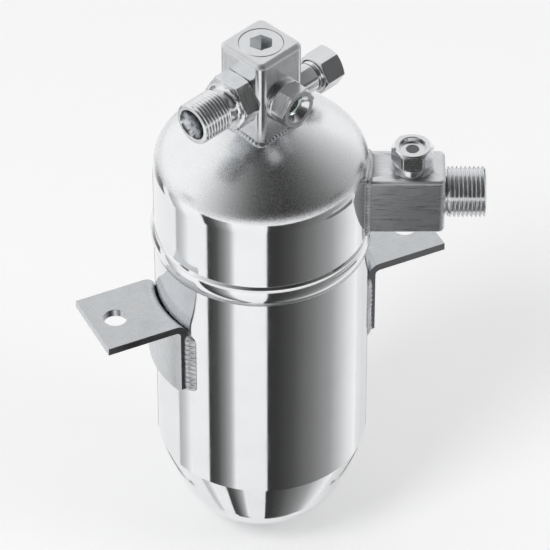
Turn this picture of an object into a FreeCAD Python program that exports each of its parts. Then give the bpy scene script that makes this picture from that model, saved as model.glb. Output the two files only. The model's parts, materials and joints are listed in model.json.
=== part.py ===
import FreeCAD, Part
import math
import os

import Sketcher

# Filter drier (receiver drier) of a vehicle air conditioner, in millimetres.
# The origin is on the can's axis, level with the underside of the two bracket tabs.
# +Z is up, +X runs along the side block, and -Y faces the viewer.

doc = FreeCAD.newDocument("filter_drier")
sheet = doc.addObject("Spreadsheet::Sheet", "sizes")

SIZES = {
    # Can
    "can_radius": 40.0,
    "can_wall": 1.6,
    "shoulder_level": 55.8,
    "shoulder_radius": 12.8,
    "dome_radius": 58.0,
    "rim_level": 22.5,
    "bead_radius": 6.8,
    "bead_rise": 3.7,
    "bead_swell": 1.3,
    "spigot_neck": 0.5,
    "spigot_height": 4.4,
    "spigot_slope": 0.6,
    "seam_leg": 0.9,
    "taper_level": -72.3,
    "taper_height": 20.3,
    "taper_angle": 18.9,
    "base_corner_radius": 19.5,
    "base_crown_angle": 61.0,
    # Head block on the dome
    "block_width": 22.0,
    "block_height": 34.3,
    "block_edge_round": 3.0,
    "block_top_round": 2.0,
    "block_spigot_radius": 6.5,
    "block_spigot_depth": 4.0,
    "block_spigot_overlap": 0.5,
    "block_bore_radius": 3.5,
    "block_weld_leg": 1.1,
    "block_weld_height": 1.4,
    "seal_wire": 0.7,
    # Screwed pieces of the head block, each measured outwards from the block's axis
    "shank_start": 6.3,
    "outlet_rise": 16.3,
    "outlet_shank_radius": 6.4,
    "outlet_hex": 19.0,
    "outlet_hex_length": 7.0,
    "outlet_neck_radius": 6.8,
    "outlet_neck_length": 4.2,
    "outlet_thread_radius": 7.94,
    "outlet_thread_length": 12.8,
    "outlet_bore_radius": 4.2,
    "outlet_mouth_radius": 5.9,
    "outlet_mouth_depth": 5.0,
    "glass_rise": 14.6,
    "glass_shank_radius": 5.4,
    "glass_flange_radius": 8.2,
    "glass_flange_length": 2.0,
    "glass_hex": 14.4,
    "glass_hex_length": 6.4,
    "glass_dish_radius": 5.3,
    "glass_dish_depth": 2.6,
    "lens_radius": 4.2,
    "lens_length": 3.0,
    "lens_lip": 0.5,
    "lens_crown": 0.8,
    "lens_crown_margin": 0.2,
    "glass_bore_radius": 3.0,
    "service_rise": 4.7,
    "stem_shank_radius": 3.9,
    "stem_radius": 5.55,
    "stem_length": 21.6,
    "stem_passage_radius": 1.2,
    "core_radius": 2.6,
    "core_length": 11.0,
    "core_recess": 0.8,
    "core_bore_radius": 1.15,
    "core_guide_length": 1.6,
    "pin_radius": 0.6,
    "pin_head_radius": 1.5,
    "pin_head_length": 1.2,
    "pin_stroke": 1.2,
    "cap_hex": 14.0,
    "cap_start": 15.4,
    "cap_end_wall": 1.9,
    "cap_mouth_chamfer": 0.6,
    "cap_seal_thickness": 1.2,
    "plug_head_radius": 8.2,
    "plug_head_thickness": 3.0,
    "plug_shank_radius": 6.0,
    "plug_shank_length": 6.5,
    "plug_socket": 8.0,
    "plug_socket_depth": 6.0,
    # Side block and what is on it
    "side_width": 19.4,
    "side_height": 24.0,
    "side_level": 42.4,
    "side_end": 67.6,
    "side_end_round": 2.5,
    "side_edge_round": 1.2,
    "side_spigot_radius": 8.0,
    "side_spigot_depth": 2.6,
    "side_weld_leg": 1.4,
    "side_weld_bevel": 0.9,
    "inlet_relief_radius": 8.3,
    "inlet_relief_length": 0.9,
    "inlet_thread_radius": 9.525,
    "inlet_thread_length": 14.1,
    "inlet_bore_radius": 5.6,
    "inlet_mouth_radius": 7.4,
    "inlet_mouth_depth": 5.0,
    "fuse_place": 55.4,
    "fuse_shank_radius": 5.0,
    "fuse_shank_length": 6.0,
    "fuse_flange_radius": 7.7,
    "fuse_flange_length": 3.4,
    "fuse_flange_bevel": 0.6,
    "fuse_hex": 14.0,
    "fuse_hex_length": 6.4,
    "fuse_dish_radius": 4.3,
    "fuse_dish_depth": 1.6,
    "fuse_dish_slope": 0.5,
    "fuse_core_radius": 2.4,
    # Mounting brackets
    "bracket_angle": 25.6,
    "sheet_thickness": 3.0,
    "tab_width": 30.0,
    "tab_reach": 69.4,
    "tab_hole_radius": 4.5,
    "tab_hole_place": 60.0,
    "bend_radius": 1.8,
    "leg_depth": 30.0,
    "leg_corner_round": 2.0,
    "leg_weld_climb": 1.7,
    "leg_weld_reach": 3.3,
    "leg_weld_crown": 0.6,
    "leg_weld_margin": 0.4,
    # Inside
    "tube_radius": 4.0,
    "tube_wall": 0.9,
    "tube_socket": 2.0,
    "strainer_floor_gap": 3.8,
    "strainer_radius": 7.5,
    "strainer_wall": 0.8,
    "strainer_height": 14.0,
    "strainer_lap": 4.0,
    "strainer_hole_radius": 1.0,
    "disc_gap": 0.3,
    "screen_thickness": 1.2,
    "screen_hole_radius": 2.4,
    "pad_thickness": 5.0,
    "bed_height": 78.0,
    "spring_wire": 1.3,
    "spring_radius": 26.0,
    "spring_turns": 4.0,
    # Fits
    "fit_gap": 0.05,
    "seat_gap": 0.02,
    "slip_gap": 0.3,
    "hole_run_out": 0.5,
    "cut_margin": 1.0,
    "edge_break": 0.3,
    "hex_chamfer": 1.1,
    "hex_chamfer_bite": 0.1,
    "thread_chamfer": 0.5,
}


class Size:
    """A number that remembers its formula in the sheet, so that features can be bound to it."""

    def __init__(self, value, formula=None):
        self.value = float(value)
        self.formula = formula or f"({self.value!r})"

    def joined(self, sign, other, value):
        return Size(value, f"({self.formula} {sign} {other.formula})")

    def __add__(self, other):
        other = size(other)
        return self.joined("+", other, self.value + other.value)

    def __sub__(self, other):
        other = size(other)
        return self.joined("-", other, self.value - other.value)

    def __mul__(self, other):
        other = size(other)
        return self.joined("*", other, self.value * other.value)

    def __truediv__(self, other):
        other = size(other)
        return self.joined("/", other, self.value / other.value)

    def __radd__(self, other):
        return size(other) + self

    def __rsub__(self, other):
        return size(other) - self

    def __rmul__(self, other):
        return size(other) * self

    def __neg__(self):
        return size(0) - self


def size(number):
    return number if isinstance(number, Size) else Size(number)


def root(number):
    return Size(math.sqrt(number.value), f"sqrt({number.formula})")


def sine(angle):
    return Size(math.sin(math.radians(angle.value)), f"sin({angle.formula} * 1 deg)")


def cosine(angle):
    return Size(math.cos(math.radians(angle.value)), f"cos({angle.formula} * 1 deg)")


def slope(rise, run):
    """The angle of a slope, in degrees."""
    angle = math.degrees(math.atan2(rise.value, run.value))
    return Size(angle, f"atan({rise.formula} / {run.formula})")


class Sheet:
    """The sheet's cells, each as a Size under its own name."""


c = Sheet()
for row, (word, number) in enumerate(SIZES.items(), start=1):
    sheet.set(f"A{row}", word)
    sheet.set(f"B{row}", str(number))
    sheet.setAlias(f"B{row}", word)
    setattr(c, word, Size(number, f"sizes.{word}"))
doc.recompute()


# Sketches and features

def new_body(label):
    body = doc.addObject("PartDesign::Body", label)
    body.Label = label
    return body


def new_sketch(body, plane, offset=None):
    sketch = body.newObject("Sketcher::SketchObject", "profile")
    origin_planes = {item.Role: item for item in body.Origin.OriginFeatures}
    sketch.AttachmentSupport = [(origin_planes[plane], "")]
    sketch.MapMode = "FlatFace"
    if offset is not None:
        sketch.setExpression("AttachmentOffset.Base.z", size(offset).formula)
    return sketch


def bind_point(sketch, curve, end, x=None, y=None):
    """Hold one point of a sketch at distances from its origin."""
    for kind, axis, place in (("DistanceX", -2, x), ("DistanceY", -1, y)):
        if place is None:
            continue
        place = size(place)
        if place.value == 0.0:
            sketch.addConstraint(Sketcher.Constraint("PointOnObject", curve, end, axis))
        else:
            held = Sketcher.Constraint(kind, -1, 1, curve, end, place.value)
            sketch.setExpression(f"Constraints[{sketch.addConstraint(held)}]", place.formula)


def arc(x, y, turn):
    """Marks the next side of an outline as an arc about (x, y), turning left or right."""
    return {"centre": (size(x), size(y)), "turn": turn}


def corner(x, y, bound="xy"):
    return {"at": (size(x), size(y)), "bound": bound}


def draw_outline(body, plane, path, offset=None):
    """A closed outline of straight sides and arcs whose corners and centres are bound."""
    sketch = new_sketch(body, plane, offset)
    corners = [step if isinstance(step, dict) else corner(*step) for step in path]
    sides = []
    for index, step in enumerate(corners):
        if "centre" in step:
            continue
        following = corners[(index + 1) % len(corners)]
        curved = following if "centre" in following else None
        if curved:
            following = corners[(index + 2) % len(corners)]
        sides.append((step, curved, following))
    ends = []
    for start, curved, stop in sides:
        first, last = (FreeCAD.Vector(p["at"][0].value, p["at"][1].value, 0) for p in (start, stop))
        if curved is None:
            curve = sketch.addGeometry(Part.LineSegment(first, last))
            ends.append((curve, 1, 2))
            continue
        centre = FreeCAD.Vector(curved["centre"][0].value, curved["centre"][1].value, 0)
        angles = [math.atan2(p.y - centre.y, p.x - centre.x) for p in (first, last)]
        if curved["turn"] == "right":
            angles.reverse()
        circle = Part.Circle(centre, FreeCAD.Vector(0, 0, 1), (first - centre).Length)
        curve = sketch.addGeometry(Part.ArcOfCircle(circle, *angles))
        ends.append((curve, 1, 2) if curved["turn"] == "left" else (curve, 2, 1))
        bind_point(sketch, curve, 3, *curved["centre"])
    for number, (curve, begin, finish) in enumerate(ends):
        following = ends[(number + 1) % len(ends)]
        sketch.addConstraint(
            Sketcher.Constraint("Coincident", curve, finish, following[0], following[1]))
        start = sides[number][0]
        x, y = start["at"]
        bound = start["bound"]
        bind_point(sketch, curve, begin, x if "x" in bound else None, y if "y" in bound else None)
    return sketch


def draw_circle(body, plane, radius, offset=None, x=0, y=0):
    sketch = new_sketch(body, plane, offset)
    centre = FreeCAD.Vector(size(x).value, size(y).value, 0)
    radius = size(radius)
    sketch.addGeometry(Part.Circle(centre, FreeCAD.Vector(0, 0, 1), radius.value))
    bind_point(sketch, 0, 3, x, y)
    held = sketch.addConstraint(Sketcher.Constraint("Radius", 0, radius.value))
    sketch.setExpression(f"Constraints[{held}]", radius.formula)
    return sketch


def draw_rectangle(body, plane, left, right, low, high, offset=None):
    path = [(left, low), (right, low), (right, high), (left, high)]
    return draw_outline(body, plane, path, offset)


def draw_hexagon(body, across_flats, offset):
    """A hexagon on the XY plane with two of its flats square to X."""
    reach = across_flats / math.sqrt(3)
    angles = [math.radians(30 + 60 * number) for number in range(6)]
    path = [(reach * math.cos(angle), reach * math.sin(angle)) for angle in angles]
    tidy = [tuple(0 if abs(place.value) < 1e-9 else place for place in point) for point in path]
    return draw_outline(body, "XY_Plane", tidy, offset)


def revolved(body, sketch, cut=False, axis="V_Axis"):
    feature = body.newObject("PartDesign::Groove" if cut else "PartDesign::Revolution", "turned")
    feature.Profile = sketch
    feature.ReferenceAxis = (sketch, [axis])
    feature.Angle = 360.0
    return feature


def padded(body, sketch, length, backwards=False, taper=None):
    feature = body.newObject("PartDesign::Pad", "pad")
    feature.Profile = sketch
    feature.setExpression("Length", size(length).formula)
    feature.Reversed = backwards
    if taper is not None:
        feature.setExpression("TaperAngle", taper.formula)
    return feature


def pocketed(body, sketch, length, backwards=False):
    """A cut that runs against the sketch's normal, or along it when backwards."""
    feature = body.newObject("PartDesign::Pocket", "pocket")
    feature.Profile = sketch
    feature.setExpression("Length", size(length).formula)
    feature.Reversed = backwards
    return feature


def polar(body, feature, count):
    pattern = body.newObject("PartDesign::PolarPattern", "ring")
    pattern.Originals = [feature]
    axes = {item.Role: item for item in body.Origin.OriginFeatures}
    pattern.Axis = (axes["Z_Axis"], [""])
    pattern.Angle = 360.0
    pattern.Occurrences = count
    body.Tip = pattern
    return pattern


def rounded(body, base, radius, wanted):
    """Fillet the edges of base that the test picks."""
    doc.recompute()
    names = [f"Edge{n}" for n, edge in enumerate(base.Shape.Edges, start=1) if wanted(edge)]
    feature = body.newObject("PartDesign::Fillet", "round")
    feature.Base = (base, names)
    feature.setExpression("Radius", radius.formula)
    return feature


def runs_along(edge, axis):
    if edge.Curve.TypeId != "Part::GeomLine":
        return False
    return abs(abs(edge.tangentAt(edge.FirstParameter).dot(axis)) - 1) < 1e-6


X, Y, Z = FreeCAD.Vector(1, 0, 0), FreeCAD.Vector(0, 1, 0), FreeCAD.Vector(0, 0, 1)


def place(body, x=0, y=0, z=0, rotation=None):
    """Puts a piece at bound distances from the origin, turned by a fixed rotation."""
    body.Placement = FreeCAD.Placement(FreeCAD.Vector(), rotation or FreeCAD.Rotation())
    for letter, distance in (("x", x), ("y", y), ("z", z)):
        body.setExpression(f"Placement.Base.{letter}", size(distance).formula)


def facing(azimuth):
    """Turns a piece's own Z to a level heading and its X upwards."""
    heading = FreeCAD.Vector(math.cos(math.radians(azimuth)), math.sin(math.radians(azimuth)), 0)
    return FreeCAD.Rotation(Z, heading.cross(Z), heading, "ZXY")


def chamfer_hexagon(body, across_flats, low, high, both_ends=False):
    """Turn the corners of a hexagon down to a cone at its outer end, or at both."""
    inside = across_flats / 2 - c.hex_chamfer_bite
    outside = across_flats / math.sqrt(3) + c.cut_margin
    rise = c.hex_chamfer
    ends = [(high, -1)] + ([(low, 1)] if both_ends else [])
    for level, side in ends:
        path = [(inside, level), (outside, level), (outside, level + rise * side)]
        revolved(body, draw_outline(body, "XZ_Plane", path), cut=True)


# Heights and radii that several pieces share

inner_radius = c.can_radius - c.can_wall
bead_centre = c.can_radius + c.bead_swell - c.bead_radius
bead_middle = c.rim_level + c.bead_rise
bead_foot = c.can_radius - bead_centre
bead_top = bead_middle + root(c.bead_radius * c.bead_radius - bead_foot * bead_foot)
rim_radius = bead_centre + root(c.bead_radius * c.bead_radius - c.bead_rise * c.bead_rise)
dome_reach = c.dome_radius - c.shoulder_radius
shoulder_centre = c.can_radius - c.shoulder_radius
dome_centre = c.shoulder_level - root(dome_reach * dome_reach - shoulder_centre * shoulder_centre)
dome_top = dome_centre + c.dome_radius
dome_hole_radius = c.block_spigot_radius + c.fit_gap
block_top = dome_top + c.block_height
outlet_level = dome_top + c.outlet_rise
glass_level = dome_top + c.glass_rise
service_level = dome_top + c.service_rise
lean_sine, lean_cosine = sine(c.taper_angle), cosine(c.taper_angle)
taper_foot = (c.can_radius - c.taper_height * lean_sine / lean_cosine,
              c.taper_level - c.taper_height)
base_corner = (taper_foot[0] - c.base_corner_radius * lean_cosine,
               taper_foot[1] + c.base_corner_radius * lean_sine)
crown_reach = base_corner[0] / sine(c.base_crown_angle)
crown_centre = base_corner[1] + crown_reach * cosine(c.base_crown_angle)
crown_radius = c.base_corner_radius + crown_reach
base_low = crown_centre - crown_radius
inner_bend = c.taper_level + c.can_wall * (1 - lean_cosine) / lean_sine
tube_end = base_low + c.can_wall + c.strainer_floor_gap + c.strainer_height - c.strainer_lap
half_block = c.block_width / 2
recess_depth = 2 * c.seal_wire + 2 * c.seat_gap
side_bottom = c.side_level - c.side_height / 2
side_top = c.side_level + c.side_height / 2
side_half = c.side_width / 2


def dome_level(radius, depth=0):
    """Height of the dome at a radius, on its outer face or a depth below it."""
    ball = c.dome_radius - depth
    return dome_centre + root(ball * ball - radius * radius)


# Can

def upper_shell():
    body = new_body("upper_shell")
    share = c.dome_radius / dome_reach
    tangent = (shoulder_centre * share, dome_centre + (c.shoulder_level - dome_centre) * share)
    inner_share = (c.dome_radius - c.can_wall) / dome_reach
    inner_tangent = (shoulder_centre * inner_share,
                     dome_centre + (c.shoulder_level - dome_centre) * inner_share)
    spigot = c.can_radius - c.spigot_neck + c.fit_gap
    socket_top = c.rim_level + c.spigot_height + c.slip_gap
    path = [
        (spigot, c.rim_level),
        (rim_radius, c.rim_level),
        arc(bead_centre, bead_middle, "left"),
        corner(c.can_radius, bead_top, "x"),
        (c.can_radius, c.shoulder_level),
        arc(shoulder_centre, c.shoulder_level, "left"),
        corner(*tangent, "x"),
        arc(0, dome_centre, "left"),
        corner(0, dome_top, "x"),
        corner(0, dome_top - c.can_wall, "xy"),
        arc(0, dome_centre, "right"),
        corner(*inner_tangent, "x"),
        arc(shoulder_centre, c.shoulder_level, "right"),
        corner(inner_radius, c.shoulder_level, "y"),
        (inner_radius, socket_top + spigot - inner_radius),
        (spigot, socket_top),
    ]
    revolved(body, draw_outline(body, "XZ_Plane", path))
    hole = draw_circle(body, "XY_Plane", dome_hole_radius, dome_top + c.cut_margin)
    pocketed(body, hole, c.dome_radius - shoulder_centre)
    port = draw_circle(body, "YZ_Plane", c.side_spigot_radius + c.fit_gap, 0, 0, c.side_level)
    pocketed(body, port, c.can_radius + c.cut_margin, backwards=True)
    return body


def lower_shell():
    body = new_body("lower_shell")

    def section(depth):
        """Foot of the taper, start of the crown and lowest point, at a depth in the wall."""
        share = (crown_radius - depth) / crown_reach
        crown_start = (base_corner[0] * share,
                       crown_centre + (base_corner[1] - crown_centre) * share)
        return ((taper_foot[0] - lean_cosine * depth, taper_foot[1] + lean_sine * depth),
                crown_start, base_low + depth)

    outer_foot, outer_crown, lowest = section(size(0))
    inner_foot, inner_crown, inner_lowest = section(c.can_wall)
    spigot = c.can_radius - c.spigot_neck
    spigot_top = c.rim_level + c.spigot_height
    slope_start = c.rim_level - c.spigot_slope
    path = [
        corner(0, lowest, "x"),
        arc(0, crown_centre, "left"),
        corner(*outer_crown, "x"),
        arc(*base_corner, "left"),
        corner(*outer_foot),
        (c.can_radius, c.taper_level),
        (c.can_radius, slope_start),
        (spigot, c.rim_level),
        (spigot, spigot_top),
        (spigot - c.can_wall, spigot_top),
        (spigot - c.can_wall, c.rim_level),
        (inner_radius, slope_start),
        (inner_radius, inner_bend),
        corner(*inner_foot),
        arc(*base_corner, "right"),
        corner(*inner_crown, "x"),
        arc(0, crown_centre, "right"),
        corner(0, inner_lowest, "x"),
    ]
    revolved(body, draw_outline(body, "XZ_Plane", path))
    return body


def girth_weld():
    """The brazed seam under the skirt's rim."""
    body = new_body("girth_weld")
    spigot = c.can_radius - c.spigot_neck
    path = [
        (spigot, c.rim_level),
        (rim_radius, c.rim_level),
        (c.can_radius, c.rim_level - c.spigot_slope - c.seam_leg),
        (c.can_radius, c.rim_level - c.spigot_slope),
    ]
    revolved(body, draw_outline(body, "XZ_Plane", path))
    return body


# Head block and what is screwed into it

def bore_port(body, plane, level, shank_radius, passage_radius, backwards):
    """Seal recess, threaded hole and passage of one port in a side of the head block."""
    outward = half_block + c.cut_margin
    side = -outward if backwards else outward
    steps = (
        (shank_radius + 2 * c.seal_wire + 2 * c.fit_gap, recess_depth + c.cut_margin),
        (shank_radius + c.fit_gap, outward - c.shank_start + c.hole_run_out),
        (passage_radius, outward),
    )
    for radius, depth in steps:
        pocketed(body, draw_circle(body, plane, radius, side, 0, level), depth, backwards)


def head_block():
    """Square block at 45 degrees: its own X carries the service port and -X the outlet."""
    body = new_body("head_block")
    seat = dome_level(size(0))
    low = dome_level(half_block * math.sqrt(2)) - c.cut_margin
    square = draw_rectangle(body, "XY_Plane", -half_block, half_block, -half_block, half_block, low)
    block = padded(body, square, block_top - low)
    block = rounded(body, block, c.block_edge_round, lambda edge: runs_along(edge, Z))
    top = block_top.value
    block = rounded(body, block, c.block_top_round,
                    lambda edge: all(abs(v.Z - top) < 1e-6 for v in edge.Vertexes))
    far = c.block_width
    under = low - c.cut_margin
    path = [(0, under), (far, under), corner(far, dome_level(far)),
            arc(0, dome_centre, "left"), corner(0, seat, "x")]
    revolved(body, draw_outline(body, "XZ_Plane", path), cut=True)
    spigot = draw_circle(body, "XY_Plane", c.block_spigot_radius,
                         seat + c.block_spigot_overlap)
    padded(body, spigot, c.block_spigot_depth + c.block_spigot_overlap, backwards=True)
    counterbore = c.plug_head_radius + 2 * c.fit_gap
    seal_well = c.plug_shank_radius + 2 * c.seal_wire + 2 * c.fit_gap
    floor = block_top - c.plug_head_thickness
    foot = seat - c.block_spigot_depth - c.cut_margin
    for radius, low_end in (
            (counterbore, floor),
            (seal_well, floor - recess_depth),
            (c.plug_shank_radius + c.fit_gap, floor - c.plug_shank_length - c.hole_run_out),
            (c.block_bore_radius, foot)):
        start = block_top + c.cut_margin
        pocketed(body, draw_circle(body, "XY_Plane", radius, start), start - low_end)
    tube_hole = draw_circle(body, "XY_Plane", c.tube_radius + c.fit_gap, foot)
    pocketed(body, tube_hole, seat + c.tube_socket - foot, backwards=True)
    bore_port(body, "YZ_Plane", outlet_level, c.outlet_shank_radius, c.outlet_bore_radius, True)
    bore_port(body, "YZ_Plane", service_level, c.stem_shank_radius, c.stem_passage_radius, False)
    bore_port(body, "XZ_Plane", glass_level, c.glass_shank_radius, c.glass_bore_radius, False)
    place(body, rotation=FreeCAD.Rotation(Z, 45))
    return body


def head_block_weld():
    """Fillet of weld metal around the block's foot, cleared for the service port."""
    body = new_body("head_block_weld")
    corner_level = dome_level(half_block * math.sqrt(2)) - c.cut_margin
    weld_top = dome_level(half_block) + c.block_weld_height
    reach = half_block + c.block_weld_leg
    square = draw_rectangle(body, "XY_Plane", -reach, reach, -reach, reach, corner_level)
    height = weld_top - corner_level
    weld = padded(body, square, height, taper=slope(-c.block_weld_leg, height))
    far = c.block_width
    under = corner_level - c.cut_margin
    path = [(0, under), (far, under), corner(far, dome_level(far)),
            arc(0, dome_centre, "left"), corner(0, dome_top, "x")]
    revolved(body, draw_outline(body, "XZ_Plane", path), cut=True)
    inside = draw_rectangle(body, "XY_Plane", -half_block, half_block, -half_block, half_block,
                            weld_top + c.cut_margin)
    pocketed(body, inside, height + 2 * c.cut_margin)
    clear = c.stem_radius + c.slip_gap
    stem = draw_circle(body, "YZ_Plane", clear, 0, 0, service_level)
    pocketed(body, stem, half_block * 2, backwards=True)
    place(body, rotation=FreeCAD.Rotation(Z, 45))
    return body


def turned(body, steps, cut=False):
    """A solid or a cut of round steps (radius, level), closed on the piece's own Z axis."""
    path = [(0, steps[0][1]), *steps, (0, steps[-1][1])]
    return revolved(body, draw_outline(body, "XZ_Plane", path), cut)


def seal_ring(label, shank_radius, distance):
    """Ring seal round a shank, its centre at a distance along the piece's own Z."""
    body = new_body(label)
    middle = shank_radius + c.seal_wire + c.fit_gap
    revolved(body, draw_circle(body, "XZ_Plane", c.seal_wire, 0, middle, distance))
    return body


OUTLET_HEADING, GLASS_HEADING, SERVICE_HEADING = 225, 315, 45
port_seal_distance = half_block - recess_depth / 2


def outlet_fitting():
    body = new_body("outlet_fitting")
    hex_start = half_block + c.seat_gap
    hex_end = hex_start + c.outlet_hex_length
    padded(body, draw_hexagon(body, c.outlet_hex, hex_start), c.outlet_hex_length)
    chamfer_hexagon(body, c.outlet_hex, hex_start, hex_end, both_ends=True)
    thread_start = hex_end + c.outlet_neck_length
    end = thread_start + c.outlet_thread_length
    crest, cut = c.outlet_thread_radius, c.thread_chamfer
    turned(body, [
        (c.outlet_shank_radius, c.shank_start),
        (c.outlet_shank_radius, hex_start),
        (c.outlet_neck_radius, hex_start),
        (c.outlet_neck_radius, thread_start),
        (crest - cut, thread_start),
        (crest, thread_start + cut),
        (crest, end - cut),
        (crest - cut, end),
    ])
    turned(body, [
        (c.outlet_bore_radius, c.shank_start - c.cut_margin),
        (c.outlet_bore_radius, end - c.outlet_mouth_depth),
        (c.outlet_mouth_radius, end),
        (c.outlet_mouth_radius, end + c.cut_margin),
    ], cut=True)
    place(body, z=outlet_level, rotation=facing(OUTLET_HEADING))
    return body


def outlet_seal():
    body = seal_ring("outlet_seal", c.outlet_shank_radius, port_seal_distance)
    place(body, z=outlet_level, rotation=facing(OUTLET_HEADING))
    return body


glass_end = half_block + c.seat_gap + c.glass_flange_length + c.glass_hex_length
lens_face = glass_end - c.glass_dish_depth
lens_back = lens_face - c.lens_length
lens_window = c.lens_radius - c.lens_lip


def sight_glass_body():
    body = new_body("sight_glass_body")
    flange_start = half_block + c.seat_gap
    hex_start = flange_start + c.glass_flange_length
    padded(body, draw_hexagon(body, c.glass_hex, hex_start), c.glass_hex_length)
    chamfer_hexagon(body, c.glass_hex, hex_start, glass_end)
    turned(body, [
        (c.glass_shank_radius, c.shank_start),
        (c.glass_shank_radius, flange_start),
        (c.glass_flange_radius - c.edge_break, flange_start),
        (c.glass_flange_radius, flange_start + c.edge_break),
        (c.glass_flange_radius, hex_start - c.edge_break),
        (c.glass_flange_radius - c.edge_break, hex_start),
    ])
    turned(body, [
        (c.glass_bore_radius, c.shank_start - c.cut_margin),
        (c.glass_bore_radius, lens_back),
        (c.lens_radius + c.fit_gap, lens_back),
        (c.lens_radius + c.fit_gap, lens_face),
        (lens_window, lens_face),
        (c.glass_dish_radius, glass_end),
        (c.glass_dish_radius, glass_end + c.cut_margin),
    ], cut=True)
    place(body, z=glass_level, rotation=facing(GLASS_HEADING))
    return body


def sight_glass_lens():
    """Glass disc with a slightly domed face, held behind the rolled edge of its body."""
    body = new_body("sight_glass_lens")
    face = lens_face - c.seat_gap
    edge = lens_window - c.lens_crown_margin
    rise = c.lens_crown
    ball = (edge * edge + rise * rise) / (2 * rise)
    path = [
        (0, lens_back + c.seat_gap),
        (c.lens_radius, lens_back + c.seat_gap),
        (c.lens_radius, face),
        (edge, face),
        arc(0, face + rise - ball, "left"),
        corner(0, face + rise, "x"),
    ]
    revolved(body, draw_outline(body, "XZ_Plane", path))
    place(body, z=glass_level, rotation=facing(GLASS_HEADING))
    return body


def sight_glass_seal():
    body = seal_ring("sight_glass_seal", c.glass_shank_radius, port_seal_distance)
    place(body, z=glass_level, rotation=facing(GLASS_HEADING))
    return body


stem_end = half_block + c.stem_length
core_outer = stem_end - c.core_recess
core_inner = core_outer - c.core_length
cap_floor = stem_end + c.cap_seal_thickness + 2 * c.seat_gap


def service_stem():
    body = new_body("service_stem")
    start = half_block + c.seat_gap
    chamber = core_inner - c.pin_head_length - c.pin_stroke - c.slip_gap
    cut = c.thread_chamfer
    turned(body, [
        (c.stem_shank_radius, c.shank_start),
        (c.stem_shank_radius, start),
        (c.stem_radius, start),
        (c.stem_radius, stem_end - cut),
        (c.stem_radius - cut, stem_end),
    ])
    turned(body, [
        (c.stem_passage_radius, c.shank_start - c.cut_margin),
        (c.stem_passage_radius, chamber),
        (c.pin_head_radius + c.slip_gap, chamber),
        (c.pin_head_radius + c.slip_gap, core_inner),
        (c.core_radius + c.fit_gap, core_inner),
        (c.core_radius + c.fit_gap, stem_end + c.cut_margin),
    ], cut=True)
    place(body, z=service_level, rotation=facing(SERVICE_HEADING))
    return body


def service_stem_seal():
    body = seal_ring("service_stem_seal", c.stem_shank_radius, port_seal_distance)
    place(body, z=service_level, rotation=facing(SERVICE_HEADING))
    return body


def valve_core():
    """Screwed-in core whose end guides the pin; its inner end is the pin's seat."""
    body = new_body("valve_core")
    turned(body, [(c.core_radius, core_inner + c.seat_gap), (c.core_radius, core_outer)])
    turned(body, [
        (c.core_bore_radius, core_inner - c.cut_margin),
        (c.core_bore_radius, core_outer - c.core_guide_length),
        (c.pin_radius + c.fit_gap, core_outer - c.core_guide_length),
        (c.pin_radius + c.fit_gap, core_outer + c.cut_margin),
    ], cut=True)
    place(body, z=service_level, rotation=facing(SERVICE_HEADING))
    return body


def valve_pin():
    """Pin with a sealing head behind the core, pushed in to open the valve."""
    body = new_body("valve_pin")
    head = core_inner - c.pin_head_length
    turned(body, [
        (c.pin_head_radius, head),
        (c.pin_head_radius, core_inner),
        (c.pin_radius, core_inner),
        (c.pin_radius, stem_end - c.core_recess / 2),
    ])
    place(body, z=service_level, rotation=facing(SERVICE_HEADING))
    return body


def service_cap():
    body = new_body("service_cap")
    start = half_block + c.cap_start
    end = cap_floor + c.cap_end_wall
    padded(body, draw_hexagon(body, c.cap_hex, start), end - start)
    chamfer_hexagon(body, c.cap_hex, start, end, both_ends=True)
    thread = c.stem_radius + c.fit_gap
    turned(body, [
        (thread + c.cap_mouth_chamfer, start - c.cut_margin),
        (thread + c.cap_mouth_chamfer, start),
        (thread, start + c.cap_mouth_chamfer),
        (thread, cap_floor),
    ], cut=True)
    place(body, z=service_level, rotation=facing(SERVICE_HEADING))
    return body


def service_cap_seal():
    body = new_body("service_cap_seal")
    start = stem_end + c.seat_gap
    ring = draw_rectangle(body, "XZ_Plane", c.core_radius + c.slip_gap, c.stem_radius - c.slip_gap,
                          start, start + c.cap_seal_thickness)
    revolved(body, ring)
    place(body, z=service_level, rotation=facing(SERVICE_HEADING))
    return body


def socket_plug():
    body = new_body("socket_plug")
    floor = block_top - c.plug_head_thickness
    turned(body, [
        (c.plug_shank_radius, floor - c.plug_shank_length),
        (c.plug_shank_radius, floor + c.seat_gap),
        (c.plug_head_radius, floor + c.seat_gap),
        (c.plug_head_radius, block_top - c.edge_break),
        (c.plug_head_radius - c.edge_break, block_top),
    ])
    pocketed(body, draw_hexagon(body, c.plug_socket, block_top), c.plug_socket_depth)
    return body


def socket_plug_seal():
    level = block_top - c.plug_head_thickness - recess_depth / 2
    return seal_ring("socket_plug_seal", c.plug_shank_radius, level)


# Side block, drawn about the axis of its own inlet port

def can_side(body):
    """Cut away what lies inside the can's side and the bead under it."""
    far = c.side_height
    path = [
        (0, -far),
        (rim_radius, -far),
        (rim_radius, c.rim_level - c.side_level),
        arc(bead_centre, bead_middle - c.side_level, "left"),
        corner(c.can_radius, bead_top - c.side_level, "x"),
        (c.can_radius, far),
        (0, far),
    ]
    revolved(body, draw_outline(body, "XZ_Plane", path), cut=True)


inlet_thread_start = c.side_end + c.inlet_relief_length
inlet_end = inlet_thread_start + c.inlet_thread_length
inlet_start = c.can_radius - c.side_spigot_depth - c.cut_margin


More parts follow.
